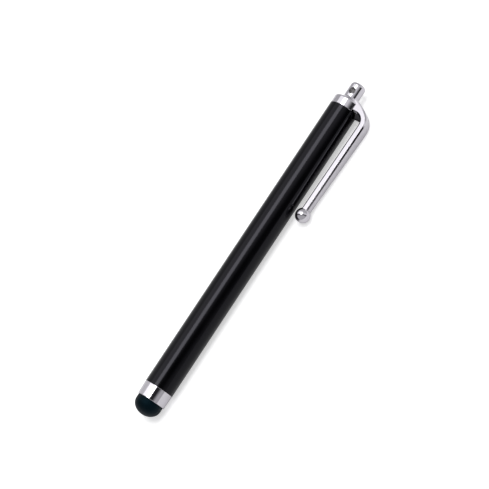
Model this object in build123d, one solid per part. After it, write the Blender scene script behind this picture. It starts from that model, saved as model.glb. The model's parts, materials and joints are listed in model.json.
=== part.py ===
from build123d import *
from math import asin, atan2, cos, degrees, hypot, radians, sin, tan
import os

# A stylus pen for touch screens: a lacquered tube with a rubber tip in a chrome ferrule at one
# end, and at the other a chrome end cap with a lanyard stem and a ball-ended pocket clip.
# Sizes are in millimetres. The pen is drawn along X, tip first, with its clip on the +Z side.
# It is then rolled over until the barrel and the clip both touch the table that it lies on.

# Barrel, a drawn aluminium tube
BARREL_DIAMETER = 9.0
BARREL_LENGTH = 98.65
BARREL_WALL = 0.65
BARREL_EDGE = 0.12

# Ferrule, the chrome ring round the rubber
FERRULE_LENGTH = 4.2
FERRULE_WALL = 0.28
FERRULE_TAPER = 0.1
FERRULE_EDGE = 0.14

# Dome, the hollow rubber tip
DOME_REACH = 4.6
DOME_CROWN = 3.3
DOME_WALL = 0.9
DOME_BEAD_LENGTH = 0.7
DOME_BEAD_HEIGHT = 0.45
DOME_TRAVEL = 0.8

# Core, the turned brass sleeve that carries the dome and the ferrule in the barrel
CORE_NOSE_LENGTH = 0.9
CORE_COLLAR_LENGTH = 1.05
CORE_SPIGOT_LENGTH = 7.0
CORE_BORE = 2.4
CORE_LEAD = 0.4

# End cap with its lanyard stem above and its stud below
CAP_HEIGHT = 2.85
CAP_EDGE = 0.65
CAP_FOOT_EDGE = 0.08
CAP_SLOPE = 15.0
STEM_DIAMETER = 4.8
STEM_LENGTH = 5.7
STEM_EDGE = 1.1
NECK_FILLET = 1.0
LANYARD_HOLE = 2.0
LANYARD_HOLE_RISE = 2.5
STUD_DIAMETER = 3.8
STUD_LENGTH = 7.0
STUD_LEAD = 0.4

# Bush, the nylon plug in the barrel that the stud is pressed into
BUSH_LENGTH = 9.0

# Pocket clip, a pressed channel with its root in a slot of the end cap
CLIP_REACH = 33.95
CLIP_ROOT_WIDTH = 5.2
CLIP_END_WIDTH = 3.1
CLIP_THICKNESS = 2.15
CLIP_WALL = 0.6
CLIP_EDGE = 0.45
CLIP_ROOT_HEIGHT = 4.25
CLIP_ARM_RISE = 3.27
CLIP_END_RISE = 2.35
CLIP_SLOPE = 24.0
CLIP_SHOULDER_PULL = 5.0
CLIP_BEND_PULL = 4.3
CLIP_BEND_DROP = 3.65
CLIP_INNER_BEND = 1.3
CHANNEL_TOP = 2.65
CHANNEL_END = 30.25
TONGUE_WIDTH = 3.0
TONGUE_HEIGHT = 1.2
TONGUE_DEPTH = 1.2
BALL_DIAMETER = 4.6
BALL_SEAT = 0.7

# Clearances: pressed joints, the sliding dome, and the clip in its slot
PRESS_GAP = 0.02
SLIDE_GAP = 0.05
CLIP_SIDE_GAP = 0.1
CLIP_SWING_GAP = 0.25
CLIP_RIM_GAP = 0.3
TONGUE_SIDE_GAP = 0.15
TONGUE_BORE_GAP = 0.9
BRAZE_GAP = 0.03
SLOT_LEDGE = 0.1

# Handle length, as a share of each half axis, at which a Bezier follows a quarter ellipse
QUARTER_PULL = 0.5523

# Radii that follow
barrel_r = BARREL_DIAMETER / 2
bore_r = barrel_r - BARREL_WALL
lip_r = barrel_r - FERRULE_TAPER
mouth_r = lip_r - FERRULE_WALL
dome_r = mouth_r - SLIDE_GAP
dome_inner_r = dome_r - DOME_WALL
nose_r = dome_inner_r - SLIDE_GAP
groove_r = nose_r - DOME_BEAD_HEIGHT
stem_r = STEM_DIAMETER / 2
stud_r = STUD_DIAMETER / 2
slot_floor_r = stem_r + SLOT_LEDGE
root_r = slot_floor_r + CLIP_SWING_GAP
ball_r = BALL_DIAMETER / 2

# Places along the pen that follow, from the end of the tip
mouth_x = DOME_REACH
barrel_x = mouth_x + FERRULE_LENGTH
rim_x = barrel_x + BARREL_LENGTH
collar_x = barrel_x - CORE_COLLAR_LENGTH
skirt_x = collar_x - SLIDE_GAP - DOME_TRAVEL
bead_x = skirt_x - DOME_BEAD_LENGTH
shoulder_x = rim_x + CAP_HEIGHT + (barrel_r - stem_r) * tan(radians(CAP_SLOPE))
top_x = shoulder_x + STEM_LENGTH
hole_x = shoulder_x + LANYARD_HOLE_RISE
hinge_x = rim_x + CAP_HEIGHT
ball_x = rim_x - CLIP_REACH
ball_height = barrel_r + CLIP_END_RISE + CLIP_THICKNESS / 2


def turned(*outline):
    """Solid of revolution about the pen's axis from lines and arcs given as (place, radius)."""
    return revolve(Plane.XZ * make_face(Curve() + list(outline)), Axis.X)


def block(x_low, x_high, width, z_low, z_high):
    """Box centred on the clip's plane, between two places along the pen and two heights."""
    centre = Pos((x_low + x_high) / 2, 0, (z_low + z_high) / 2)
    return centre * Box(x_high - x_low, width, z_high - z_low)


def quarter_ellipse(tip_x, end_x, radius):
    """Curve from the pen's axis at tip_x to the given radius at end_x, close to a quarter ellipse."""
    height = end_x - tip_x
    return Bezier(
        (tip_x, 0),
        (tip_x, radius * QUARTER_PULL),
        (end_x - height * QUARTER_PULL, radius),
        (end_x, radius),
    )


def arm_height(x):
    """Height of the clip arm's inner face above the pen's axis."""
    fall = (CLIP_ARM_RISE - CLIP_END_RISE) / CLIP_REACH
    return barrel_r + CLIP_ARM_RISE + (x - rim_x) * fall


def clip_half_width(x):
    """Half the clip's width, which tapers evenly from its root to the ball."""
    taper = (CLIP_ROOT_WIDTH - CLIP_END_WIDTH) / 2 / (CLIP_ROOT_HEIGHT + CLIP_REACH)
    return CLIP_END_WIDTH / 2 + (x - ball_x) * taper


def clip_plan(x_low, x_high, side_trim):
    """Wedge of the clip's tapering width, with its side faces moved in by side_trim."""
    low = clip_half_width(x_low) - side_trim
    high = clip_half_width(x_high) - side_trim
    outline = Polyline((x_low, -low), (x_high, -high), (x_high, high), (x_low, low), close=True)
    return extrude(make_face(outline), amount=arm_height(rim_x) + 2 * CLIP_THICKNESS)


def arm_bar(x_low, x_high, inner_trim, outer_trim, side_trim):
    """Stretch of the clip's arm, with its inner, outer and side faces moved in by the trims."""
    outline = Polyline(
        (x_low, arm_height(x_low) + inner_trim),
        (x_high, arm_height(x_high) + inner_trim),
        (x_high, arm_height(x_high) + CLIP_THICKNESS - outer_trim),
        (x_low, arm_height(x_low) + CLIP_THICKNESS - outer_trim),
        close=True,
    )
    bar = extrude(Plane.XZ * make_face(outline), amount=CLIP_ROOT_WIDTH, both=True)
    return bar & clip_plan(x_low, x_high, side_trim)


def make_barrel():
    """Plain tube with broken edges at both ends."""
    return turned(
        FilletPolyline(
            (barrel_x, bore_r),
            (rim_x, bore_r),
            (rim_x, barrel_r),
            (barrel_x, barrel_r),
            radius=[0, 0, BARREL_EDGE, BARREL_EDGE],
            close=True,
        )
    )


def make_ferrule():
    """Ring flush with the barrel that narrows to a thin rounded lip round the rubber."""
    return turned(
        FilletPolyline(
            (mouth_x, mouth_r),
            (barrel_x, mouth_r),
            (barrel_x, barrel_r),
            (mouth_x, lip_r),
            radius=[0, 0, BARREL_EDGE, FERRULE_EDGE],
            close=True,
        )
    )


def make_dome():
    """Hollow rubber dome with a blunt crown, a skirt in the ferrule and a bead in the core's groove."""
    bead_r = groove_r + SLIDE_GAP
    return turned(
        quarter_ellipse(0, DOME_CROWN, dome_r),
        Polyline(
            (DOME_CROWN, dome_r),
            (skirt_x, dome_r),
            (skirt_x, bead_r),
            (bead_x, bead_r),
            (bead_x, dome_inner_r),
            (DOME_CROWN, dome_inner_r),
        ),
        quarter_ellipse(DOME_WALL, DOME_CROWN, dome_inner_r),
        Line((DOME_WALL, 0), (0, 0)),
    )


def make_core():
    """Sleeve with a grooved nose for the dome, a collar for the ferrule and a spigot."""
    bore = CORE_BORE / 2
    groove_x = bead_x - SLIDE_GAP
    nose_x = groove_x - CORE_NOSE_LENGTH
    collar_r = mouth_r - PRESS_GAP
    spigot_r = bore_r - PRESS_GAP
    end_x = barrel_x + CORE_SPIGOT_LENGTH
    return turned(
        Polyline(
            (nose_x, bore),
            (nose_x, nose_r - CORE_LEAD),
            (nose_x + CORE_LEAD, nose_r),
            (groove_x, nose_r),
            (groove_x, groove_r),
            (collar_x, groove_r),
            (collar_x, collar_r),
            (barrel_x, collar_r),
            (barrel_x, spigot_r),
            (end_x - CORE_LEAD, spigot_r),
            (end_x, spigot_r - CORE_LEAD),
            (end_x, bore),
            close=True,
        )
    )


def make_cap():
    """Cap with a drilled stem, a slot for the clip's root and a stud for the bush."""
    stud_x = rim_x - STUD_LENGTH
    cap = turned(
        FilletPolyline(
            (stud_x, 0),
            (stud_x, stud_r - STUD_LEAD),
            (stud_x + STUD_LEAD, stud_r),
            (rim_x, stud_r),
            (rim_x, barrel_r - CAP_FOOT_EDGE),
            (rim_x + CAP_FOOT_EDGE, barrel_r),
            (rim_x + CAP_HEIGHT, barrel_r),
            (shoulder_x, stem_r),
            (top_x, stem_r),
            (top_x, 0),
            radius=[0, 0, 0, 0, 0, 0, CAP_EDGE, NECK_FILLET, STEM_EDGE, 0],
            close=True,
        )
    )
    hole = Pos(hole_x, 0, 0) * Rot(X=90) * Cylinder(LANYARD_HOLE / 2, 2 * BARREL_DIAMETER)
    slot_width = CLIP_ROOT_WIDTH + 2 * CLIP_SIDE_GAP
    slot = block(rim_x, top_x, slot_width, slot_floor_r, 2 * barrel_r)
    pocket_width = TONGUE_WIDTH + 2 * TONGUE_SIDE_GAP
    pocket_top = rim_x + TONGUE_HEIGHT + TONGUE_SIDE_GAP
    pocket = block(rim_x, pocket_top, pocket_width, stud_r, slot_floor_r)
    return cap - hole - slot - pocket


def make_bush():
    """Plug in the barrel's end, bored for the stud and slotted for the clip's tongue."""
    bush = turned(
        Polyline(
            (rim_x - BUSH_LENGTH, stud_r + PRESS_GAP),
            (rim_x, stud_r + PRESS_GAP),
            (rim_x, bore_r - PRESS_GAP),
            (rim_x - BUSH_LENGTH, bore_r - PRESS_GAP),
            close=True,
        )
    )
    slot_width = TONGUE_WIDTH + 2 * TONGUE_SIDE_GAP
    slot_depth = TONGUE_DEPTH + CLIP_SWING_GAP + TONGUE_SIDE_GAP
    return bush - block(rim_x - slot_depth, rim_x, slot_width, 0, barrel_r)


def make_clip():
    """Channel that rises from its root in the cap, bends over and runs down to the ball."""
    root_x = rim_x + CLIP_ROOT_HEIGHT
    under_x = rim_x + CLIP_RIM_GAP
    bend_x = rim_x - CLIP_BEND_DROP
    end_x = ball_x + BALL_SEAT
    fall = Vector(ball_x - rim_x, CLIP_END_RISE - CLIP_ARM_RISE).normalized()
    start = Vector(root_x, root_r)
    leave = Vector(-sin(radians(CLIP_SLOPE)), cos(radians(CLIP_SLOPE)))
    bend = Vector(bend_x, arm_height(bend_x) + CLIP_THICKNESS)
    shoulder = Bezier(start, start + leave * CLIP_SHOULDER_PULL, bend - fall * CLIP_BEND_PULL, bend)
    outer_end = (end_x, arm_height(end_x) + CLIP_THICKNESS)
    back = Line(bend, outer_end)
    inside = FilletPolyline(
        outer_end,
        (end_x, arm_height(end_x)),
        (under_x, arm_height(under_x)),
        (under_x, root_r),
        start,
        radius=[0, CLIP_INNER_BEND, 0],
    )
    side = make_face(Curve() + [shoulder, back, inside])
    blank = extrude(Plane.XZ * side, amount=CLIP_ROOT_WIDTH, both=True)
    blank = blank & clip_plan(end_x, root_x, 0)

    crest = Plane.XZ * (Curve() + [shoulder, back])
    edges = [e for e in blank.edges() if is_side_edge_on(e, crest)]
    blank = fillet(edges, CLIP_EDGE)

    channel_end = rim_x - CHANNEL_END
    channel_top = rim_x - CHANNEL_TOP
    channel = arm_bar(channel_end, channel_top, -CLIP_THICKNESS, CLIP_WALL, CLIP_WALL)
    tongue_low = stud_r + CLIP_SWING_GAP
    foot = block(under_x, rim_x + TONGUE_HEIGHT, TONGUE_WIDTH, tongue_low, root_r + CLIP_WALL)
    hook = block(
        rim_x - TONGUE_DEPTH,
        rim_x + TONGUE_HEIGHT,
        TONGUE_WIDTH,
        tongue_low,
        bore_r - TONGUE_BORE_GAP,
    )
    return blank - channel + foot + hook


def is_side_edge_on(edge, crest):
    """Whether an edge of the clip runs along one side of its crest line."""
    middle = edge.position_at(0.5)
    aside = abs(middle.Y) > CLIP_END_WIDTH / 4
    return aside and crest.distance_to(Vertex(middle.X, 0, middle.Z)) < CLIP_EDGE / 10


def make_ball():
    """Ball with a socket that the end of the clip's arm is brazed into."""
    ball = Pos(ball_x, 0, ball_height) * Sphere(ball_r)
    socket_x = ball_x + BALL_SEAT - BRAZE_GAP
    return ball - arm_bar(socket_x, ball_x + 2 * ball_r, -BRAZE_GAP, -BRAZE_GAP, -BRAZE_GAP)


def lying_roll():
    """Turn about the pen's axis that lays the clip's widest corner on the table."""
    bend_x = rim_x - CLIP_BEND_DROP
    corner_height = arm_height(bend_x) + CLIP_THICKNESS - CLIP_EDGE
    corner_side = clip_half_width(bend_x) - CLIP_EDGE
    reach = asin((barrel_r - CLIP_EDGE) / hypot(corner_height, corner_side))
    return 90 + degrees(reach - atan2(corner_side, corner_height))


solids = {
    "barrel": make_barrel(),
    "tip_ferrule": make_ferrule(),
    "tip_dome": make_dome(),
    "tip_core": make_core(),
    "end_cap": make_cap(),
    "cap_bush": make_bush(),
    "clip": make_clip(),
    "clip_ball": make_ball(),
}

# Laid on the table, with the origin under the middle of the pen's box
roll = Rot(X=lying_roll())
box = Compound([roll * solid for solid in solids.values()]).bounding_box()
laid = Pos(-box.center().X, -box.center().Y, -box.min.Z) * roll

os.makedirs("parts", exist_ok=True)
for name, solid in solids.items():
    export_step(laid * solid, f"parts/{name}.step")

print("roll", round(lying_roll(), 3), "degrees, box", box.size)
for label, place in {
    "tip end": (0, 0, 0),
    "lanyard hole": (hole_x, 0, 0),
    "clip hinge": (hinge_x, 0, barrel_r),
    "clip ball": (ball_x, 0, ball_height),
    "barrel front": (barrel_x, 0, 0),
    "barrel rim": (rim_x, 0, 0),
}.items():
    print(label, (laid * Pos(*place)).position)
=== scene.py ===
import json
import logging
import math
from dataclasses import dataclass, field
from enum import Enum
from typing import Any, Sequence

import bmesh
import bpy
from mathutils import Matrix, Vector


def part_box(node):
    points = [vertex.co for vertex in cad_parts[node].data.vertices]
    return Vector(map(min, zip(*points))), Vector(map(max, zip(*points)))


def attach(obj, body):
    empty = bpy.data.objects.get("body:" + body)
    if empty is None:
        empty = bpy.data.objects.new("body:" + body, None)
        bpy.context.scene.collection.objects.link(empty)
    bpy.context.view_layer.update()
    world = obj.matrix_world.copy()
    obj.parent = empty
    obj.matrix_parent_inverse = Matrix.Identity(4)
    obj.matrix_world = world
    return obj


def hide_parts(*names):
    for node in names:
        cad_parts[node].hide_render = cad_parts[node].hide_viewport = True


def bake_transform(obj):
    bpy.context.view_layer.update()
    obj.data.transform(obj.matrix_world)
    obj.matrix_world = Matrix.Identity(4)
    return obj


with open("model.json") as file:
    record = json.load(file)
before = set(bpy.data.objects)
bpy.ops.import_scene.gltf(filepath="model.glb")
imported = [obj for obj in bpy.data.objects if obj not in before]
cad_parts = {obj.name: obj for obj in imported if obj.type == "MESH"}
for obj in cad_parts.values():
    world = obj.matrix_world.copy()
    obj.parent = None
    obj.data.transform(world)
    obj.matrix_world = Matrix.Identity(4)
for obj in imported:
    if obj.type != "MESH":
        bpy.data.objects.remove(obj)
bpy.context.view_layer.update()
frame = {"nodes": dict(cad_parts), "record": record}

LOG = logging.getLogger("stylus_pen")
MM = 0.001

Point = tuple[float, float]
Triple = tuple[float, float, float]


class Body(Enum):
    """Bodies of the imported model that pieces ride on."""

    PEN = "pen"
    CLIP = "clip"
    TIP = "tip"


class Slot(Enum):
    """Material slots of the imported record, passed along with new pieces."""

    LACQUER = "lacquer"
    CHROME = "chrome"
    RUBBER = "rubber"


class Cut(Enum):
    """How one closed mesh is worked into another."""

    JOIN = "UNION"
    REMOVE = "DIFFERENCE"


def linear(hex_colour: str) -> tuple[float, float, float, float]:
    """Turns an sRGB hex value into the linear colour that shaders take.

    Args:
        hex_colour: A hash sign and six hex digits.

    Returns:
        Linear red, green and blue, with an alpha of 1.
    """
    channels = [int(hex_colour[start:start + 2], 16) / 255 for start in (1, 3, 5)]
    red, green, blue = [
        channel / 12.92 if channel <= 0.04045 else ((channel + 0.055) / 1.055) ** 2.4
        for channel in channels
    ]
    return red, green, blue, 1.0


def add_node(
    tree: bpy.types.NodeTree,
    kind: str,
    settings: dict[str, Any] | None = None,
    inputs: dict[str | int, Any] | None = None,
) -> bpy.types.Node:
    """Adds a node with its settings, values and links.

    Args:
        tree: Tree that takes the node.
        kind: Blender's name for the kind of node.
        settings: Values of the node's own properties.
        inputs: For each input, an output socket to link or a value to set.

    Returns:
        The new node.
    """
    node = tree.nodes.new(kind)
    for name, value in (settings or {}).items():
        setattr(node, name, value)
    for key, value in (inputs or {}).items():
        if isinstance(value, bpy.types.NodeSocket):
            tree.links.new(value, node.inputs[key])
        else:
            node.inputs[key].default_value = value
    return node


def per_mm(size_mm: float) -> float:
    """Gives the texture scale at which one feature measures size_mm."""
    return 1.0 / (size_mm * MM)


@dataclass(frozen=True)
class Noise:
    """A cloudy pattern, with its size and how fast it changes along each of the model's axes."""

    size_mm: float
    detail: float = 3.0
    pace: Triple = (1.0, 1.0, 1.0)

    def draw(self, tree: bpy.types.NodeTree, place: bpy.types.NodeSocket) -> bpy.types.NodeSocket:
        """Adds the pattern to a material.

        Args:
            tree: The material's node tree.
            place: Object coordinates.

        Returns:
            The pattern's value, from about 0 to 1.
        """
        paced = add_node(tree, "ShaderNodeMapping", inputs={"Vector": place, "Scale": self.pace})
        return add_node(tree, "ShaderNodeTexNoise", inputs={
            "Vector": paced.outputs["Vector"], "Scale": per_mm(self.size_mm), "Detail": self.detail,
        }).outputs["Fac"]


@dataclass(frozen=True)
class Rings:
    """Rings round the pen's axis, as a lathe's tool leaves them."""

    size_mm: float
    distortion: float = 0.4

    def draw(self, tree: bpy.types.NodeTree, place: bpy.types.NodeSocket) -> bpy.types.NodeSocket:
        """Adds the pattern to a material.

        Args:
            tree: The material's node tree.
            place: Object coordinates.

        Returns:
            The pattern's value, from 0 to 1.
        """
        # A wave texture repeats 3.18 times in each unit of its scale, and pi is near enough.
        scale = per_mm(self.size_mm) / math.pi
        return add_node(
            tree, "ShaderNodeTexWave", {"wave_type": "BANDS", "bands_direction": "X"},
            {"Vector": place, "Scale": scale, "Distortion": self.distortion},
        ).outputs["Fac"]


@dataclass(frozen=True)
class Finish:
    """A surface finish: two colours in patches, a haze over the gloss, and a relief."""

    name: str
    fresh: str
    aged: str
    roughness: float
    haze: float
    patches: Noise
    relief: Noise | Rings | None = None
    relief_height_mm: float = 0.0
    # The haze follows the patches, or else the relief, over the middle of the pattern's range.
    hazy_relief: bool = False
    haze_from: float = 0.35
    haze_to: float = 0.7
    metallic: float = 0.0

    def constants(self) -> dict[str, Any]:
        """Gives the finish's own shader values that are the same all over."""
        return {}

    def material(self) -> bpy.types.Material:
        """Builds the material.

        Returns:
            A material with one Principled shader, the finish's patterns and its constant values.
        """
        made = bpy.data.materials.new(self.name)
        made.use_nodes = True
        tree = made.node_tree
        tree.nodes.clear()
        place = add_node(tree, "ShaderNodeTexCoord").outputs["Object"]
        inputs = {"Metallic": self.metallic, **self.constants()}
        patches = self.patches.draw(tree, place)
        inputs["Base Color"] = add_node(
            tree, "ShaderNodeMix", {"data_type": "RGBA"},
            {0: patches, 6: linear(self.fresh), 7: linear(self.aged)},
        ).outputs[2]
        hazing = patches
        if self.relief is not None:
            relief = self.relief.draw(tree, place)
            hazing = relief if self.hazy_relief else patches
            inputs["Normal"] = add_node(tree, "ShaderNodeBump", inputs={
                "Strength": 1.0, "Distance": self.relief_height_mm * MM, "Height": relief,
            }).outputs["Normal"]
        inputs["Roughness"] = add_node(tree, "ShaderNodeMapRange", inputs={
            "Value": hazing, "From Min": self.haze_from, "From Max": self.haze_to,
            "To Min": self.roughness, "To Max": self.roughness + self.haze,
        }).outputs["Result"]
        shader = add_node(tree, "ShaderNodeBsdfPrincipled", inputs=inputs)
        add_node(tree, "ShaderNodeOutputMaterial", inputs={"Surface": shader.outputs["BSDF"]})
        return made


@dataclass(frozen=True)
class GlossLacquer(Finish):
    """Black gloss lacquer, sprayed on an aluminium tube and baked.

    It gives a deep black with soft-edged, faintly violet reflections: the film flows out smooth but
    keeps a slight orange peel, and handling leaves patches that are a little hazier than the rest.
    """

    name: str = "black_gloss_lacquer"
    fresh: str = "#010102"
    aged: str = "#050506"
    roughness: float = 0.11
    haze: float = 0.05
    patches: Noise = Noise(size_mm=9.0)
    relief: Noise = Noise(size_mm=1.3, detail=1.0)
    relief_height_mm: float = 0.003
    # Lower than a lacquer's usual 1.5, matched to the photograph's faint reflections.
    ior: float = 1.3
    cast: str = "#e4e2f0"

    def constants(self) -> dict[str, Any]:
        """Gives the film's refraction and the cast of its reflections."""
        return {"IOR": self.ior, "Specular Tint": linear(self.cast)}


@dataclass(frozen=True)
class ChromePlate(Finish):
    """Bright chrome, plated over polished nickel.

    It mirrors its surroundings at a little over half their brightness with a cool cast. The
    buffing before plating leaves faint lines across the pen, and touch leaves a thin haze in patches.
    """

    name: str = "bright_chrome_plate"
    fresh: str = "#cecbd1"
    aged: str = "#c5c2c8"
    roughness: float = 0.06
    haze: float = 0.05
    patches: Noise = Noise(size_mm=3.0)
    # The real buffing lines are a few hundredths of a millimetre apart, too fine to show.
    relief: Noise = Noise(size_mm=0.25, detail=2.0, pace=(1.0, 0.06, 0.06))
    relief_height_mm: float = 0.0004
    metallic: float = 1.0


@dataclass(frozen=True)
class DullNickel(Finish):
    """The nickel under the chrome, bare in a bore that the plating doesn't reach.

    It is a dull grey with warmer stains, and the drill leaves it rough.
    """

    name: str = "dull_nickel_bore"
    fresh: str = "#bcbbbd"
    aged: str = "#979593"
    roughness: float = 0.24
    haze: float = 0.12
    patches: Noise = Noise(size_mm=0.5)
    metallic: float = 1.0


@dataclass(frozen=True)
class ConductiveSilicone(Finish):
    """Carbon-filled silicone rubber, moulded and tumbled to a satin surface.

    It is blue-black with a broad soft highlight, a fine grain from the mould, and a slight pale
    bloom where the surface turns away.
    """

    name: str = "conductive_silicone"
    fresh: str = "#010609"
    aged: str = "#040d13"
    roughness: float = 0.5
    haze: float = 0.08
    patches: Noise = Noise(size_mm=2.2, detail=4.0)
    # The mould's grain is nearer 0.05 mm, too fine to show.
    relief: Noise = Noise(size_mm=0.18, detail=2.0)
    relief_height_mm: float = 0.004
    hazy_relief: bool = True
    haze_from: float = 0.3
    # Lower than silicone's usual 1.4, matched to the photograph's faint highlight.
    ior: float = 1.3
    glint: str = "#5f9db8"
    bloom: str = "#3c566a"
    bloom_weight: float = 0.02

    def constants(self) -> dict[str, Any]:
        """Gives the rubber's refraction, the colour of its highlight and its bloom."""
        return {
            "IOR": self.ior,
            "Specular Tint": linear(self.glint),
            "Sheen Weight": self.bloom_weight,
            "Sheen Tint": linear(self.bloom),
        }


@dataclass(frozen=True)
class TurnedBrass(Finish):
    """Free-cutting brass, turned on a lathe and left bare.

    The tool leaves fine rings that spread the highlight across them, and the metal has dulled in
    patches.
    """

    name: str = "turned_brass"
    fresh: str = "#c9a253"
    aged: str = "#9c7a3c"
    roughness: float = 0.24
    haze: float = 0.12
    patches: Noise = Noise(size_mm=2.5)
    relief: Rings = Rings(size_mm=0.2)
    relief_height_mm: float = 0.004
    metallic: float = 1.0


@dataclass(frozen=True)
class NaturalNylon(Finish):
    """Unfilled nylon, moulded in its natural ivory colour.

    It is slightly see-through, with a waxy sheen and faint flow marks that run along the pen.
    """

    name: str = "natural_nylon"
    fresh: str = "#e6e0d2"
    aged: str = "#d3cab8"
    roughness: float = 0.42
    haze: float = 0.1
    patches: Noise = Noise(size_mm=1.6, pace=(0.3, 1.0, 1.0))
    relief: Noise = Noise(size_mm=1.6, pace=(0.3, 1.0, 1.0))
    relief_height_mm: float = 0.006
    ior: float = 1.53
    see_through: float = 0.15
    depth_mm: float = 0.6

    def constants(self) -> dict[str, Any]:
        """Gives the nylon's refraction and how far light spreads in it."""
        return {
            "IOR": self.ior,
            "Subsurface Weight": self.see_through,
            "Subsurface Scale": self.depth_mm * MM,
        }


@dataclass(frozen=True)
class PenSpace:
    """The pen's own millimetres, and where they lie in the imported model.

    X runs from the rubber tip to the lanyard stem, Y across the clip and Z out through it.
    """

    place: Matrix

    @classmethod
    def from_frame(cls) -> "PenSpace":
        """Reads the pen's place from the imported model.

        Returns:
            The space whose X starts at the tip and whose Y is the clip's bending axis.
        """
        tip_low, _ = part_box("tip_dome")
        low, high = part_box("barrel")
        axes = {joint["name"]: joint["axis"] for joint in frame["record"]["behaviour"]["joints"]}
        across = Vector(axes["clip_flex"]).normalized()
        along = Vector((1.0, 0.0, 0.0))
        out = along.cross(across)
        turn = Matrix((along, across, out)).transposed().to_4x4()
        start = Vector((tip_low[0], (low[1] + high[1]) / 2, (low[2] + high[2]) / 2))
        return cls(Matrix.Translation(start) @ turn @ Matrix.Scale(MM, 4))

    def point(self, x: float, y: float, z: float) -> Vector:
        """Gives a point of the pen, in millimetres, in the model's metres."""
        return self.place @ Vector((x, y, z))


@dataclass(frozen=True)
class Layout:
    """Sizes along the pen that several pieces share, in millimetres."""

    barrel_diameter: float = 9.0
    barrel_length: float = 98.65
    ferrule_length: float = 4.2
    dome_reach: float = 4.6

    @property
    def radius(self) -> float:
        """Radius of the barrel, the ferrule's back and the cap's foot."""
        return self.barrel_diameter / 2

    @property
    def front_x(self) -> float:
        """Where the ferrule ends and the barrel starts."""
        return self.dome_reach + self.ferrule_length

    @property
    def rim_x(self) -> float:
        """Where the barrel ends and the end cap starts."""
        return self.front_x + self.barrel_length


def rounded(corners: Sequence[Triple], closed: bool, steps: int = 7) -> list[Point]:
    """Rounds the corners of a line.

    Args:
        corners: Each corner's two coordinates and the radius of its arc.
        closed: Whether the last corner joins the first.
        steps: Straight pieces in each arc.

    Returns:
        The points of the rounded line.
    """
    points: list[Point] = []
    count = len(corners)
    for place, (x, y, radius) in enumerate(corners):
        is_end = not closed and place in (0, count - 1)
        if is_end or radius == 0:
            points.append((x, y))
            continue
        corner = Vector((x, y))
        back = (Vector(corners[place - 1][:2]) - corner).normalized()
        ahead = (Vector(corners[(place + 1) % count][:2]) - corner).normalized()
        half_angle = back.angle(ahead) / 2
        centre = corner + (back + ahead).normalized() * (radius / math.sin(half_angle))
        first = corner + back * (radius / math.tan(half_angle)) - centre
        sweep = first.angle_signed(corner + ahead * (radius / math.tan(half_angle)) - centre)
        for step in range(steps + 1):
            turned = first.copy()
            turned.rotate(Matrix.Rotation(-sweep * step / steps, 2))
            points.append(tuple(centre + turned))
    return points


def bezier(start: Vector, leave: Vector, arrive: Vector, end: Vector, steps: int) -> list[Vector]:
    """Follows a cubic curve.

    Args:
        start: First point.
        leave: Handle of the first point.
        arrive: Handle of the last point.
        end: Last point.
        steps: Straight pieces along the curve.

    Returns:
        Points from start to end.
    """
    points = []
    for step in range(steps + 1):
        t = step / steps
        s = 1 - t
        points.append(start * s**3 + leave * 3 * s**2 * t + arrive * 3 * s * t**2 + end * t**3)
    return points


def along_line(points: Sequence[Vector], count: int) -> list[Vector]:
    """Spaces points evenly along a line.

    Args:
        points: The line's own points.
        count: How many points to give.

    Returns:
        Points at equal steps of the line's length.
    """
    reach = [0.0]
    for before, after in zip(points, points[1:]):
        reach.append(reach[-1] + (after - before).length)
    spaced = []
    piece = 0
    for step in range(count):
        wanted = reach[-1] * step / (count - 1)
        while piece < len(points) - 2 and reach[piece + 1] < wanted:
            piece += 1
        share = (wanted - reach[piece]) / (reach[piece + 1] - reach[piece])
        spaced.append(points[piece].lerp(points[piece + 1], share))
    return spaced


def evaluated(holder: bpy.types.Object) -> bpy.types.Mesh:
    """Takes the plain mesh that an object's modifiers give, and removes the object.

    Args:
        holder: Object with live modifiers.

    Returns:
        The finished mesh.
    """
    graph = bpy.context.evaluated_depsgraph_get()
    mesh = bpy.data.meshes.new_from_object(holder.evaluated_get(graph), depsgraph=graph)
    bpy.data.objects.remove(holder)
    return mesh


def hold(name: str, mesh: bpy.types.Mesh) -> bpy.types.Object:
    """Puts a mesh in the scene as an object at the origin.

    Args:
        name: Name of the object.
        mesh: Its mesh.

    Returns:
        The object.
    """
    holder = bpy.data.objects.new(name, mesh)
    bpy.context.scene.collection.objects.link(holder)
    return holder


def outward(mesh: bpy.types.Mesh) -> None:
    """Turns the faces of a closed mesh outwards.

    Args:
        mesh: The mesh, which is changed in place.
    """
    work = bmesh.new()
    work.from_mesh(mesh)
    bmesh.ops.recalc_face_normals(work, faces=work.faces)
    work.to_mesh(mesh)
    work.free()


def loft(name: str, loops: Sequence[Sequence[Vector]], finish: bpy.types.Material) -> bpy.types.Mesh:
    """Skins a row of equal loops and closes both ends.

    Args:
        name: Name of the mesh.
        loops: Closed loops with the same number of points.
        finish: Material of the mesh.

    Returns:
        A closed mesh.
    """
    work = bmesh.new()
    rings = [[work.verts.new(point) for point in loop] for loop in loops]
    count = len(rings[0])
    for ring, following in zip(rings, rings[1:]):
        for place in range(count):
            after = (place + 1) % count
            work.faces.new((ring[place], ring[after], following[after], following[place]))
    work.faces.new(reversed(rings[0]))
    work.faces.new(rings[-1])
    bmesh.ops.recalc_face_normals(work, faces=work.faces)
    mesh = bpy.data.meshes.new(name)
    work.to_mesh(mesh)
    work.free()
    mesh.materials.append(finish)
    return mesh


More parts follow.
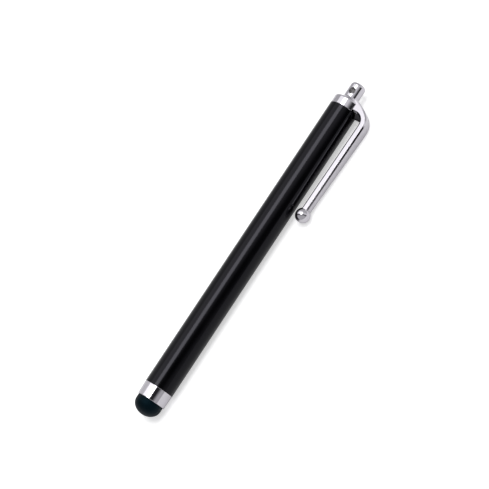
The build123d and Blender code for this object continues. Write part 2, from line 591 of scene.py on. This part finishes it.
def worked(mesh: bpy.types.Mesh, tools: Sequence[tuple[bpy.types.Mesh, Cut]]) -> bpy.types.Mesh:
    """Joins other closed meshes to a mesh, or cuts them out of it.

    Args:
        mesh: The mesh to work on.
        tools: Each other mesh and what it does.

    Returns:
        The worked mesh.
    """
    holder = hold(mesh.name, mesh)
    helpers = []
    for tool, cut in tools:
        helper = hold(tool.name, tool)
        modifier = holder.modifiers.new(cut.name, "BOOLEAN")
        modifier.operation = cut.value
        modifier.solver = "EXACT"
        modifier.material_mode = "TRANSFER"
        modifier.object = helper
        helpers.append(helper)
    result = evaluated(holder)
    for helper in helpers:
        bpy.data.objects.remove(helper)
    return result


def smoothed(mesh: bpy.types.Mesh, crease_degrees: float) -> bpy.types.Mesh:
    """Shades a mesh smooth between its creases, with flat faces kept flat.

    Args:
        mesh: The mesh to shade.
        crease_degrees: Edges that turn by more than this stay sharp.

    Returns:
        The shaded mesh.
    """
    mesh.shade_smooth()
    mesh.set_sharp_from_angle(angle=math.radians(crease_degrees))
    holder = hold(mesh.name, mesh)
    modifier = holder.modifiers.new("flat_faces", "WEIGHTED_NORMAL")
    modifier.keep_sharp = True
    modifier.weight = 100
    return evaluated(holder)


class TurningLathe:
    """A Geometry Nodes tree that turns a profile about the pen's axis.

    A grid has one row for each point of the profile and one column for each step of the turn. Each
    of its points takes its place along the axis and its radius from the profile.
    """

    def __init__(self) -> None:
        """Builds the tree."""
        self.tree = bpy.data.node_groups.new("turning_lathe", "GeometryNodeTree")
        self.sockets: dict[str, str] = {}
        face = self.tree.interface
        face.new_socket("Profile", in_out="INPUT", socket_type="NodeSocketGeometry")
        for name, kind in (
            ("Profile Points", "NodeSocketInt"),
            ("Steps", "NodeSocketInt"),
            ("Seam", "NodeSocketFloat"),
            ("Finish", "NodeSocketMaterial"),
        ):
            self.sockets[name] = face.new_socket(name, in_out="INPUT", socket_type=kind).identifier
        face.new_socket("Turned", in_out="OUTPUT", socket_type="NodeSocketGeometry")
        self._wire()

    def _wire(self) -> None:
        """Adds the tree's nodes and links."""
        tree = self.tree
        maths = "ShaderNodeMath"
        given = add_node(tree, "NodeGroupInput").outputs
        columns = add_node(tree, maths, {"operation": "ADD"}, {0: given["Steps"], 1: 1.0}).outputs[0]
        grid = add_node(
            tree, "GeometryNodeMeshGrid",
            inputs={"Vertices X": given["Profile Points"], "Vertices Y": columns},
        ).outputs["Mesh"]
        index = add_node(tree, "GeometryNodeInputIndex").outputs[0]
        rows = add_node(tree, maths, {"operation": "DIVIDE"}, {0: index, 1: columns}).outputs[0]
        row = add_node(tree, maths, {"operation": "FLOOR"}, {0: rows}).outputs[0]
        column = add_node(tree, maths, {"operation": "MODULO"}, {0: index, 1: columns}).outputs[0]
        share = add_node(tree, maths, {"operation": "DIVIDE"}, {0: column, 1: given["Steps"]}).outputs[0]
        angle = add_node(tree, maths, {"operation": "MULTIPLY"}, {0: share, 1: math.tau}).outputs[0]
        sampled = add_node(
            tree, "GeometryNodeSampleIndex", {"data_type": "FLOAT_VECTOR", "domain": "POINT"},
            {
                "Geometry": given["Profile"],
                "Value": add_node(tree, "GeometryNodeInputPosition").outputs[0],
                "Index": row,
            },
        ).outputs["Value"]
        split = add_node(tree, "ShaderNodeSeparateXYZ", inputs={0: sampled}).outputs
        place = {"X": split["X"]}
        for axis, wave in (("Y", "COSINE"), ("Z", "SINE")):
            turned = add_node(tree, maths, {"operation": wave}, {0: angle}).outputs[0]
            reach = add_node(tree, maths, {"operation": "MULTIPLY"}, {0: split["Y"], 1: turned})
            place[axis] = reach.outputs[0]
        position = add_node(tree, "ShaderNodeCombineXYZ", inputs=place).outputs[0]
        placed = add_node(
            tree, "GeometryNodeSetPosition", inputs={"Geometry": grid, "Position": position},
        ).outputs[0]
        closed = add_node(
            tree, "GeometryNodeMergeByDistance", inputs={"Geometry": placed, "Distance": given["Seam"]},
        ).outputs[0]
        real = add_node(tree, "GeometryNodeRealizeInstances", inputs={"Geometry": closed}).outputs[0]
        finished = add_node(
            tree, "GeometryNodeSetMaterial", inputs={"Geometry": real, "Material": given["Finish"]},
        ).outputs[0]
        add_node(tree, "NodeGroupOutput", inputs={0: finished})

    def turn(
        self,
        name: str,
        profile: Sequence[Point],
        finish: bpy.types.Material,
        steps: int = 160,
        seam_mm: float = 0.002,
    ) -> bpy.types.Mesh:
        """Turns a profile into a closed mesh.

        Args:
            name: Name of the mesh.
            profile: Places along the axis and radii, in millimetres. It starts and ends on the axis
                or at one and the same point.
            finish: Material of the mesh.
            steps: Steps round the axis.
            seam_mm: Points closer than this become one.

        Returns:
            The mesh, in the pen's millimetres.
        """
        line = bpy.data.meshes.new(name)
        line.from_pydata([(x, radius, 0.0) for x, radius in profile], [], [])
        holder = hold(name, line)
        modifier = holder.modifiers.new("turned", "NODES")
        modifier.node_group = self.tree
        modifier[self.sockets["Profile Points"]] = len(profile)
        modifier[self.sockets["Steps"]] = steps
        modifier[self.sockets["Seam"]] = seam_mm
        modifier[self.sockets["Finish"]] = finish
        mesh = evaluated(holder)
        # The tree leaves an empty slot before the finish's own.
        mesh.materials.pop(index=0)
        outward(mesh)
        return mesh


@dataclass
class Bench:
    """What every sub-assembly works with: the pen's place, its layout, the lathe and the finishes."""

    space: PenSpace
    layout: Layout
    lathe: TurningLathe
    lacquer: bpy.types.Material
    chrome: bpy.types.Material
    nickel: bpy.types.Material
    silicone: bpy.types.Material
    brass: bpy.types.Material
    nylon: bpy.types.Material

    def seat(self, name: str, mesh: bpy.types.Mesh, crease_degrees: float = 40.0) -> bpy.types.Object:
        """Shades a mesh and puts it in its place on the pen.

        Args:
            name: Name of the piece.
            mesh: Closed mesh in the pen's millimetres, with its finish.
            crease_degrees: Edges that turn by more than this stay sharp.

        Returns:
            The piece's object, at the origin.
        """
        shaded = smoothed(mesh, crease_degrees)
        shaded.name = name
        shaded.transform(self.space.place)
        return hold(name, shaded)


@dataclass
class SubAssembly:
    """A group of pieces that is built and dressed together."""

    bench: Bench
    pieces: list[bpy.types.Object] = field(default_factory=list)

    def add(self, piece: bpy.types.Object, node: str, body: Body, slot: Slot) -> None:
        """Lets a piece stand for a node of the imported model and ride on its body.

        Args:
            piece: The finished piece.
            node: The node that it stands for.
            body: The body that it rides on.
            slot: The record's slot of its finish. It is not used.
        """
        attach(piece, body.value)
        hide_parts(node)
        self.pieces.append(piece)

    def keep(self, node: str, finish: bpy.types.Material) -> None:
        """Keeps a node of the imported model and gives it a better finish.

        Args:
            node: The node's name.
            finish: Its material.
        """
        kept = frame["nodes"][node]
        kept.data.materials.clear()
        kept.data.materials.append(finish)
        self.pieces.append(kept)


@dataclass
class Barrel(SubAssembly):
    """The straight lacquered tube. Sizes are in millimetres."""

    wall: float = 0.65
    edge: float = 0.12

    def build(self) -> None:
        """Turns the tube."""
        layout = self.bench.layout
        bore = layout.radius - self.wall
        corners = [
            (layout.front_x, bore, 0.0),
            (layout.front_x, layout.radius, self.edge),
            (layout.rim_x, layout.radius, self.edge),
            (layout.rim_x, bore, 0.0),
        ]
        profile = rounded(corners, closed=True)
        mesh = self.bench.lathe.turn("barrel_tube", profile + profile[:1], self.bench.lacquer)
        self.add(self.bench.seat("barrel_tube", mesh), "barrel", Body.PEN, Slot.LACQUER)


@dataclass
class Tip(SubAssembly):
    """The chrome ferrule, the rubber dome in it and the core behind. Sizes are in millimetres."""

    ferrule_wall: float = 0.28
    ferrule_taper: float = 0.1
    ferrule_edge: float = 0.14
    mouth_edge: float = 0.112
    back_edge: float = 0.084
    collar_length: float = 1.05
    dome_gap: float = 0.05
    dome_wall: float = 0.9
    dome_crown: float = 3.3
    dome_travel: float = 0.8
    skirt_gap: float = 0.05
    bead_length: float = 0.7
    bead_depth: float = 0.45
    skirt_edge: float = 0.15
    bead_edge: float = 0.12
    # Handle length that makes a cubic curve follow a quarter of an ellipse.
    quarter_pull: float = 0.5523
    crown_steps: int = 28

    @property
    def mouth_radius(self) -> float:
        """Inner radius of the ferrule at its front."""
        return self.bench.layout.radius - self.ferrule_taper - self.ferrule_wall

    def build(self) -> None:
        """Builds the ferrule and the dome, and dresses the core."""
        self._build_ferrule()
        self._build_dome()
        self.keep("tip_core", self.bench.brass)

    def _build_ferrule(self) -> None:
        """Turns the tapered ring with its rounded lip."""
        layout = self.bench.layout
        corners = [
            (layout.dome_reach, self.mouth_radius, self.mouth_edge),
            (layout.dome_reach, layout.radius - self.ferrule_taper, self.ferrule_edge),
            (layout.front_x, layout.radius, self.back_edge),
            (layout.front_x, self.mouth_radius, 0.0),
        ]
        profile = rounded(corners, closed=True)
        mesh = self.bench.lathe.turn("ferrule_ring", profile + profile[:1], self.bench.chrome)
        self.add(self.bench.seat("ferrule_ring", mesh), "tip_ferrule", Body.PEN, Slot.CHROME)

    def _crown(self, tip_x: float, radius: float) -> list[Point]:
        """Follows the dome's front.

        Args:
            tip_x: Where the front meets the axis.
            radius: Radius that it grows to.

        Returns:
            Points from the axis to the full radius.
        """
        length = self.dome_crown - tip_x
        start = Vector((tip_x, 0.0))
        end = Vector((tip_x + length, radius))
        leave = start + Vector((0.0, radius * self.quarter_pull))
        arrive = end - Vector((length * self.quarter_pull, 0.0))
        return [tuple(point) for point in bezier(start, leave, arrive, end, self.crown_steps)]

    def _build_dome(self) -> None:
        """Turns the hollow dome with its skirt and bead."""
        layout = self.bench.layout
        outer = self.mouth_radius - self.dome_gap
        inner = outer - self.dome_wall
        collar_x = layout.front_x - self.collar_length
        skirt_x = collar_x - self.dome_travel - self.skirt_gap
        bead_x = skirt_x - self.bead_length
        skirt = rounded(
            [
                (bead_x, outer, 0.0),
                (skirt_x, outer, self.skirt_edge),
                (skirt_x, inner - self.bead_depth, self.bead_edge),
                (bead_x, inner - self.bead_depth, self.bead_edge),
                (bead_x, inner, 0.0),
            ],
            closed=False,
        )
        profile = self._crown(0.0, outer) + skirt + self._crown(self.dome_wall, inner)[::-1]
        mesh = self.bench.lathe.turn("rubber_dome", profile, self.bench.silicone)
        self.add(self.bench.seat("rubber_dome", mesh), "tip_dome", Body.TIP, Slot.RUBBER)


@dataclass
class EndCap(SubAssembly):
    """The chrome cap with its drilled stem, and the bush below. Sizes are in millimetres."""

    height: float = 2.85
    edge: float = 0.65
    foot_edge: float = 0.08
    slope_degrees: float = 15.0
    stem_diameter: float = 4.8
    stem_length: float = 5.7
    stem_edge: float = 1.1
    neck_fillet: float = 1.0
    hole_diameter: float = 2.0
    hole_rise: float = 2.5
    hole_break: float = 0.12
    hole_round: float = 0.5
    stud_diameter: float = 3.8
    stud_length: float = 7.0
    stud_lead: float = 0.4
    slot_width: float = 5.4
    slot_floor: float = 2.5
    pocket_width: float = 3.3
    pocket_height: float = 1.35
    # How far the cutters go past what they cut.
    drill_overrun: float = 1.0
    foot_overrun: float = 0.5
    pocket_overrun: float = 0.2

    @property
    def stem_radius(self) -> float:
        """Radius of the lanyard stem."""
        return self.stem_diameter / 2

    @property
    def shoulder_x(self) -> float:
        """Where the cap's sloped top would meet the stem."""
        rise = (self.bench.layout.radius - self.stem_radius) * math.tan(math.radians(self.slope_degrees))
        return self.bench.layout.rim_x + self.height + rise

    def build(self) -> None:
        """Turns the cap, cuts its slot and drills its stem, and dresses the bush."""
        cap = worked(self._turned_cap(), [
            (self._drill(), Cut.REMOVE),
            (self._slot(), Cut.REMOVE),
            (self._pocket(), Cut.REMOVE),
        ])
        self.add(self.bench.seat("lanyard_cap", cap), "end_cap", Body.PEN, Slot.CHROME)
        self.keep("cap_bush", self.bench.nylon)

    def _turned_cap(self) -> bpy.types.Mesh:
        """Turns the cap with its stem and stud.

        Returns:
            The closed mesh.
        """
        layout = self.bench.layout
        stud_radius = self.stud_diameter / 2
        stud_x = layout.rim_x - self.stud_length
        top_x = self.shoulder_x + self.stem_length
        profile = rounded(
            [
                (stud_x, 0.0, 0.0),
                (stud_x, stud_radius - self.stud_lead, 0.0),
                (stud_x + self.stud_lead, stud_radius, 0.0),
                (layout.rim_x, stud_radius, 0.0),
                (layout.rim_x, layout.radius - self.foot_edge, 0.0),
                (layout.rim_x + self.foot_edge, layout.radius, 0.0),
                (layout.rim_x + self.height, layout.radius, self.edge),
                (self.shoulder_x, self.stem_radius, self.neck_fillet),
                (top_x, self.stem_radius, self.stem_edge),
                (top_x, 0.0, 0.0),
            ],
            closed=False,
            steps=10,
        )
        return self.bench.lathe.turn("cap_blank", profile, self.bench.chrome)

    def _drill(self) -> bpy.types.Mesh:
        """Shapes the drill for the lanyard hole, which also breaks the hole's edges.

        Returns:
            The closed cutter, across the stem.
        """
        hole = self.hole_diameter / 2
        reach = self.stem_radius + self.drill_overrun
        flare_x = self.stem_radius - self.hole_break
        flare = hole + reach - flare_x
        half = rounded(
            [(0.0, hole, 0.0), (flare_x, hole, self.hole_round), (reach, flare, 0.0), (reach, 0.0, 0.0)],
            closed=False,
        )
        profile = [(-x, radius) for x, radius in half[:0:-1]] + half
        cutter = self.bench.lathe.turn("lanyard_drill", profile, self.bench.nickel, steps=96)
        hole_x = self.shoulder_x + self.hole_rise
        cutter.transform(Matrix.Translation((hole_x, 0.0, 0.0)) @ Matrix.Rotation(math.pi / 2, 4, "Z"))
        return cutter

    def _block(self, name: str, end_x: float, width: float, low: float, high: float) -> bpy.types.Mesh:
        """Shapes a straight cutter that starts just below the cap's foot.

        Args:
            name: Name of the mesh.
            end_x: Where it ends along the pen.
            width: Its width across the clip.
            low: Its lower height above the axis.
            high: Its upper height above the axis.

        Returns:
            The closed cutter.
        """
        start_x = self.bench.layout.rim_x - self.foot_overrun
        half = width / 2
        sides = ((-half, low), (half, low), (half, high), (-half, high))
        loops = [[Vector((x, y, z)) for y, z in sides] for x in (start_x, end_x)]
        return loft(name, loops, self.bench.chrome)

    def _slot(self) -> bpy.types.Mesh:
        """Shapes the slot that takes the clip's root."""
        end_x = self.shoulder_x + self.stem_length
        return self._block(
            "root_slot", end_x, self.slot_width, self.slot_floor, self.bench.layout.barrel_diameter,
        )

    def _pocket(self) -> bpy.types.Mesh:
        """Shapes the pocket under the slot that takes the clip's tongue."""
        end_x = self.bench.layout.rim_x + self.pocket_height
        return self._block(
            "tongue_pocket", end_x, self.pocket_width,
            self.stud_diameter / 2, self.slot_floor + self.pocket_overrun,
        )


@dataclass(frozen=True)
class ClipSection:
    """One cross-section of the clip: its inner and outer middle, and how deep its channel is."""

    inner: Vector
    outer: Vector
    channel: float


@dataclass
class PocketClip(SubAssembly):
    """The pressed chrome clip and the ball at its end. Sizes are in millimetres."""

    reach: float = 33.95
    root_width: float = 5.2
    end_width: float = 3.1
    thickness: float = 2.15
    wall: float = 0.6
    crest_bevel: float = 0.46
    lip_bevel: float = 0.5
    bevel_round: float = 0.08
    root_height: float = 4.25
    root_radius: float = 2.75
    rim_gap: float = 0.3
    arm_rise: float = 3.27
    end_rise: float = 2.35
    slope_degrees: float = 24.0
    shoulder_pull: float = 5.0
    bend_pull: float = 4.3
    bend_drop: float = 3.65
    inner_bend: float = 2.9
    gusset_reach: float = 1.65
    gusset_width: float = 4.2
    gusset_edge: float = 0.6
    gusset_clearance: float = 0.35
    channel_top: float = 2.65
    channel_end: float = 30.25
    channel_ramp: float = 0.25
    channel_draft: float = 0.08
    tongue_width: float = 3.0
    tongue_low: float = 2.15
    tongue_reach: float = 1.2
    tongue_high: float = 2.95
    ball_diameter: float = 4.6
    ball_seat: float = 0.7
    braze_gap: float = 0.03
    crest_steps: int = 48

    @property
    def ball_x(self) -> float:
        """Where the ball is along the pen."""
        return self.bench.layout.rim_x - self.reach

    @property
    def under_x(self) -> float:
        """Where the clip's underside comes down, just past the barrel's rim."""
        return self.bench.layout.rim_x + self.rim_gap

    @property
    def ball_height(self) -> float:
        """Height of the ball's middle above the pen's axis."""
        return self.arm_height(self.ball_x) + self.thickness / 2

    def arm_height(self, x: float) -> float:
        """Height of the arm's underside above the pen's axis."""
        slope = (self.arm_rise - self.end_rise) / self.reach
        return self.bench.layout.radius + self.arm_rise + (x - self.bench.layout.rim_x) * slope

    def half_width(self, x: float) -> float:
        """Half the clip's width at a place along the pen."""
        taper = (self.root_width - self.end_width) / 2 / (self.root_height + self.reach)
        return self.end_width / 2 + (x - self.ball_x) * taper

    def build(self) -> None:
        """Builds the strip with its tongue, and the ball."""
        loops = [self._loop(section) for section in self._sections()]
        strip = worked(loft("clip_strip", loops, self.bench.chrome), [
            (self._tongue(), Cut.JOIN),
            (self._gusset(), Cut.JOIN),
        ])
        piece = self.bench.seat("pocket_clip", strip, crease_degrees=30.0)
        rim_x = self.bench.layout.rim_x
        root = self.bench.space.point(rim_x + self.root_height / 2, 0.0, self.root_radius)
        bend_x = rim_x - self.bend_drop
        bend = self.bench.space.point(bend_x, 0.0, self.arm_height(bend_x) + self.thickness / 2)
        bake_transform(piece)
        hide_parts("clip")
        self.pieces.append(piece)
        self._build_ball()

    def _arm_section(self, x: float, channel: float) -> ClipSection:
        """Gives the cross-section at a place on the straight arm."""
        low = self.arm_height(x)
        return ClipSection(Vector((x, low)), Vector((x, low + self.thickness)), channel)

    def _sections(self) -> list[ClipSection]:
        """Follows the clip from the ball to its root.

        Returns:
            The cross-sections in order.
        """
        rim_x = self.bench.layout.rim_x
        depth = self.thickness - self.wall
        first_x = rim_x - self.channel_end
        last_x = rim_x - self.channel_top
        bend_x = rim_x - self.bend_drop
        sections = [self._arm_section(self.ball_x + self.ball_seat, 0.0), self._arm_section(first_x, 0.0)]
        steps = 24
        start_x = first_x + self.channel_ramp
        for step in range(steps):
            x = start_x + (bend_x - start_x) * step / steps
            sections.append(self._arm_section(x, depth))
        count = 33
        for inner, outer in zip(along_line(self._underside(), count), along_line(self._crest(), count)):
            shallow = min(max((last_x - inner.x) / self.channel_ramp, 0.0), 1.0)
            sections.append(ClipSection(inner, outer, depth * shallow))
        return sections

    def _underside(self) -> list[Vector]:
        """Follows the shoulder's inside, from the bend round the corner to the root.

        Returns:
            Points in the clip's own plane.
        """
        bend_x = self.bench.layout.rim_x - self.bend_drop
        corners = [
            (bend_x, self.arm_height(bend_x), 0.0),
            (self.under_x, self.arm_height(self.under_x), self.inner_bend),
            (self.under_x, self.root_radius, 0.0),
        ]
        return [Vector(point) for point in rounded(corners, closed=False, steps=12)]

    def _crest(self) -> list[Vector]:
        """Follows the shoulder's outside, from the bend to the root.

        Returns:
            Points in the clip's own plane.
        """
        rim_x = self.bench.layout.rim_x
        bend_x = rim_x - self.bend_drop
        root = Vector((rim_x + self.root_height, self.root_radius))
        slope = math.radians(self.slope_degrees)
        leave = root + Vector((-math.sin(slope), math.cos(slope))) * self.shoulder_pull
        bend = Vector((bend_x, self.arm_height(bend_x) + self.thickness))
        fall = Vector((-self.reach, self.end_rise - self.arm_rise)).normalized()
        return bezier(root, leave, bend - fall * self.bend_pull, bend, self.crest_steps)[::-1]

    def _loop(self, section: ClipSection, grow: float = 0.0) -> list[Vector]:
        """Draws one cross-section.

        Args:
            section: The cross-section.
            grow: How far its outline is set outwards.

        Returns:
            The points of the closed outline, in the pen's millimetres.
        """
        up = section.outer - section.inner
        height = up.length + grow
        up.normalize()
        half = self.half_width((section.inner.x + section.outer.x) / 2) + grow
        lip = half - self.wall
        floor = lip - self.channel_draft
        side = [
            (lip, -grow, 0.0),
            (half - self.lip_bevel, -grow, self.bevel_round),
            (half, self.lip_bevel - grow, self.bevel_round),
            (half, height - self.crest_bevel, self.bevel_round),
            (half - self.crest_bevel, height, self.bevel_round),
        ]
        other_side = [(-across, rise, radius) for across, rise, radius in reversed(side)]
        channel = [(-floor, section.channel - grow, 0.0), (floor, section.channel - grow, 0.0)]
        outline = rounded(side + other_side + channel, closed=True, steps=4)
        points = []
        for across, rise in outline:
            spot = section.inner + up * rise
            points.append(Vector((spot.x, across, spot.y)))
        return points

    def _tongue(self) -> bpy.types.Mesh:
        """Shapes the tongue that hooks behind the barrel's wall.

        Returns:
            The closed mesh.
        """
        rim_x = self.bench.layout.rim_x
        half = self.tongue_width / 2
        outline = [
            (rim_x - self.tongue_reach, self.tongue_low),
            (rim_x + self.tongue_reach, self.tongue_low),
            (rim_x + self.tongue_reach, self.root_radius + self.wall),
            (self.under_x, self.root_radius + self.wall),
            (self.under_x, self.tongue_high),
            (rim_x - self.tongue_reach, self.tongue_high),
        ]
        loops = [[Vector((x, y, z)) for x, z in outline] for y in (-half, half)]
        return loft("clip_tongue", loops, self.bench.chrome)

    def _gusset(self) -> bpy.types.Mesh:
        """Shapes the keel that fills the shoulder's inner corner, just clear of the barrel.

        Returns:
            The closed mesh.
        """
        half = self.gusset_width / 2
        inside_x = self.under_x + self.wall / 2
        outline = rounded(
            [
                (inside_x, -half, 0.0),
                (self.under_x, -half, 0.0),
                (self.under_x - self.gusset_reach, 0.0, self.gusset_edge),
                (self.under_x, half, 0.0),
                (inside_x, half, 0.0),
            ],
            closed=True,
        )
        low = self.bench.layout.radius + self.gusset_clearance
        high = self.arm_height(self.under_x)
        loops = [[Vector((x, y, z)) for x, y in outline] for z in (low, high)]
        return loft("clip_gusset", loops, self.bench.chrome)

    def _build_ball(self) -> None:
        """Turns the ball and cuts the socket that the arm's end is brazed into."""
        radius = self.ball_diameter / 2
        steps = 64
        profile = []
        for step in range(steps + 1):
            angle = math.pi * step / steps
            profile.append((-radius * math.cos(angle), radius * math.sin(angle)))
        ball = self.bench.lathe.turn("clip_ball_blank", profile, self.bench.chrome, steps=128)
        ball.transform(Matrix.Translation((self.ball_x, 0.0, self.ball_height)))
        ends = (self.ball_x + self.ball_seat - self.braze_gap, self.ball_x + self.ball_diameter)
        loops = [self._loop(self._arm_section(x, 0.0), self.braze_gap) for x in ends]
        cut_ball = worked(ball, [(loft("ball_socket", loops, self.bench.chrome), Cut.REMOVE)])
        self.add(self.bench.seat("clip_end_ball", cut_ball), "clip_ball", Body.CLIP, Slot.CHROME)


@dataclass(frozen=True)
class Softbox:
    """A soft lamp that faces the pen. Sizes and places are in millimetres."""

    name: str
    centre: Triple
    width: float
    depth: float
    watts: float

    def hang(self) -> None:
        """Puts the lamp in the scene."""
        lamp = bpy.data.lights.new(self.name, "AREA")
        lamp.shape = "RECTANGLE"
        lamp.size = self.width * MM
        lamp.size_y = self.depth * MM
        lamp.energy = self.watts
        holder = bpy.data.objects.new(self.name, lamp)
        bpy.context.scene.collection.objects.link(holder)
        away = Vector(self.centre).normalized()
        side = Vector((1.0, 0.0, 0.0))
        side = (side - away * side.dot(away)).normalized()
        turn = Matrix((side, away.cross(side), away)).transposed().to_4x4()
        holder.matrix_world = Matrix.Translation(Vector(self.centre) * MM) @ turn
        holder.visible_camera = False


@dataclass(frozen=True)
class Studio:
    """The floor, the lamps, the surroundings and the camera."""

    floor_span: float = 6.0
    floor_colour: str = "#e6e6e6"
    # What the camera and the metal see on top of the floor's own light, where 1 is white.
    camera_lift: float = 0.5
    mirror_lift: float = 0.12
    # A dark band crosses the room slantwise, close beside the camera. Its stops are the sines of
    # the angles to a plane near its middle, and the room is pale on both sides of it.
    band_facing: Triple = (0.936, 0.322, 0.143)
    band_reach: float = 0.5
    band: tuple[tuple[float, str], ...] = (
        (-0.235, "#c4c4c6"), (-0.185, "#8f8f91"), (-0.125, "#2a2a2c"), (0.0, "#2a2a2c"),
        (0.06, "#a6a6a8"), (0.11, "#d4d4d6"), (0.16, "#fafafc"), (0.3, "#f4f4f6"), (0.5, "#c8c8ca"),
    )
    eye: Triple = (-76.169, -303.338, 370.672)
    right: Triple = (0.546089, -0.692247, -0.47179)
    up: Triple = (0.823089, 0.338534, 0.455987)
    focal_mm: float = 121.97
    sensor_mm: float = 36.0
    nearest_m: float = 0.01
    softboxes: tuple[Softbox, ...] = (
        Softbox("overhead_softbox", (105.0, -75.0, 620.0), 430.0, 272.0, 1.95),
        Softbox("back_softbox", (140.0, 342.0, 778.0), 560.0, 562.0, 0.8),
    )

    def build(self) -> None:
        """Builds the whole studio."""
        self._floor()
        self._surroundings()
        for softbox in self.softboxes:
            softbox.hang()
        self._camera()
        bpy.context.scene.view_settings.view_transform = "Standard"

    def _floor(self) -> None:
        """Lays a pale floor that the camera and the metal see as white, with the pen's shadow on it."""
        half = self.floor_span / 2
        mesh = bpy.data.meshes.new("floor")
        corners = [(-half, -half, 0.0), (half, -half, 0.0), (half, half, 0.0), (-half, half, 0.0)]
        mesh.from_pydata(corners, [], [(0, 1, 2, 3)])
        material = bpy.data.materials.new("pale_studio_floor")
        material.use_nodes = True
        tree = material.node_tree
        tree.nodes.clear()
        path = add_node(tree, "ShaderNodeLightPath").outputs
        mirrored = add_node(
            tree, "ShaderNodeMath", {"operation": "MAXIMUM"},
            {0: path["Is Glossy Ray"], 1: path["Is Transmission Ray"]},
        ).outputs[0]
        mirror_lift = add_node(
            tree, "ShaderNodeMath", {"operation": "MULTIPLY"}, {0: mirrored, 1: self.mirror_lift},
        ).outputs[0]
        lift = add_node(
            tree, "ShaderNodeMath", {"operation": "MULTIPLY_ADD"},
            {0: path["Is Camera Ray"], 1: self.camera_lift, 2: mirror_lift},
        ).outputs[0]
        paint = add_node(tree, "ShaderNodeBsdfDiffuse", inputs={"Color": linear(self.floor_colour)})
        glow = add_node(tree, "ShaderNodeEmission", inputs={"Strength": lift})
        both = add_node(tree, "ShaderNodeAddShader", inputs={0: paint.outputs[0], 1: glow.outputs[0]})
        add_node(tree, "ShaderNodeOutputMaterial", inputs={"Surface": both.outputs[0]})
        mesh.materials.append(material)
        hold("floor", mesh)

    def _surroundings(self) -> None:
        """Makes the pale room with its dark band."""
        world = bpy.data.worlds.new("studio_room")
        world.use_nodes = True
        tree = world.node_tree
        tree.nodes.clear()
        ray = add_node(tree, "ShaderNodeTexCoord").outputs["Generated"]
        side = add_node(
            tree, "ShaderNodeVectorMath", {"operation": "DOT_PRODUCT"}, {0: ray, 1: self.band_facing},
        ).outputs["Value"]
        share = add_node(tree, "ShaderNodeMapRange", inputs={
            "Value": side, "From Min": -self.band_reach, "From Max": self.band_reach,
        }).outputs["Result"]
        ramp = add_node(tree, "ShaderNodeValToRGB", inputs={"Fac": share})
        stops = ramp.color_ramp.elements
        while len(stops) < len(self.band):
            stops.new(1.0)
        for stop, (place, colour) in zip(stops, self.band):
            stop.position = (place + self.band_reach) / (2 * self.band_reach)
            stop.color = linear(colour)
        sky = add_node(tree, "ShaderNodeBackground", inputs={"Color": ramp.outputs["Color"]})
        add_node(tree, "ShaderNodeOutputWorld", inputs={"Surface": sky.outputs[0]})
        bpy.context.scene.world = world

    def _camera(self) -> None:
        """Sets the camera at the photograph's place and angle."""
        lens = bpy.data.cameras.new("photo_camera")
        lens.sensor_width = self.sensor_mm
        lens.lens = self.focal_mm
        lens.clip_start = self.nearest_m
        holder = bpy.data.objects.new("photo_camera", lens)
        bpy.context.scene.collection.objects.link(holder)
        right = Vector(self.right).normalized()
        up = Vector(self.up).normalized()
        turn = Matrix((right, up, right.cross(up))).transposed().to_4x4()
        holder.matrix_world = Matrix.Translation(Vector(self.eye) * MM) @ turn
        bpy.context.scene.camera = holder


def main() -> None:
    """Builds the studio and the pen's sub-assemblies, and reports each piece."""
    logging.basicConfig(level=logging.INFO, format="%(name)s: %(message)s")
    Studio().build()
    bench = Bench(
        space=PenSpace.from_frame(),
        layout=Layout(),
        lathe=TurningLathe(),
        lacquer=GlossLacquer().material(),
        chrome=ChromePlate().material(),
        nickel=DullNickel().material(),
        silicone=ConductiveSilicone().material(),
        brass=TurnedBrass().material(),
        nylon=NaturalNylon().material(),
    )
    for part in (Barrel(bench), Tip(bench), EndCap(bench), PocketClip(bench)):
        part.build()
        for piece in part.pieces:
            finish = piece.data.materials[0].name
            faces = len(piece.data.polygons)
            LOG.info("%s: %s, %d faces, %s", type(part).__name__, piece.name, faces, finish)


if __name__ == "__main__":
    main()
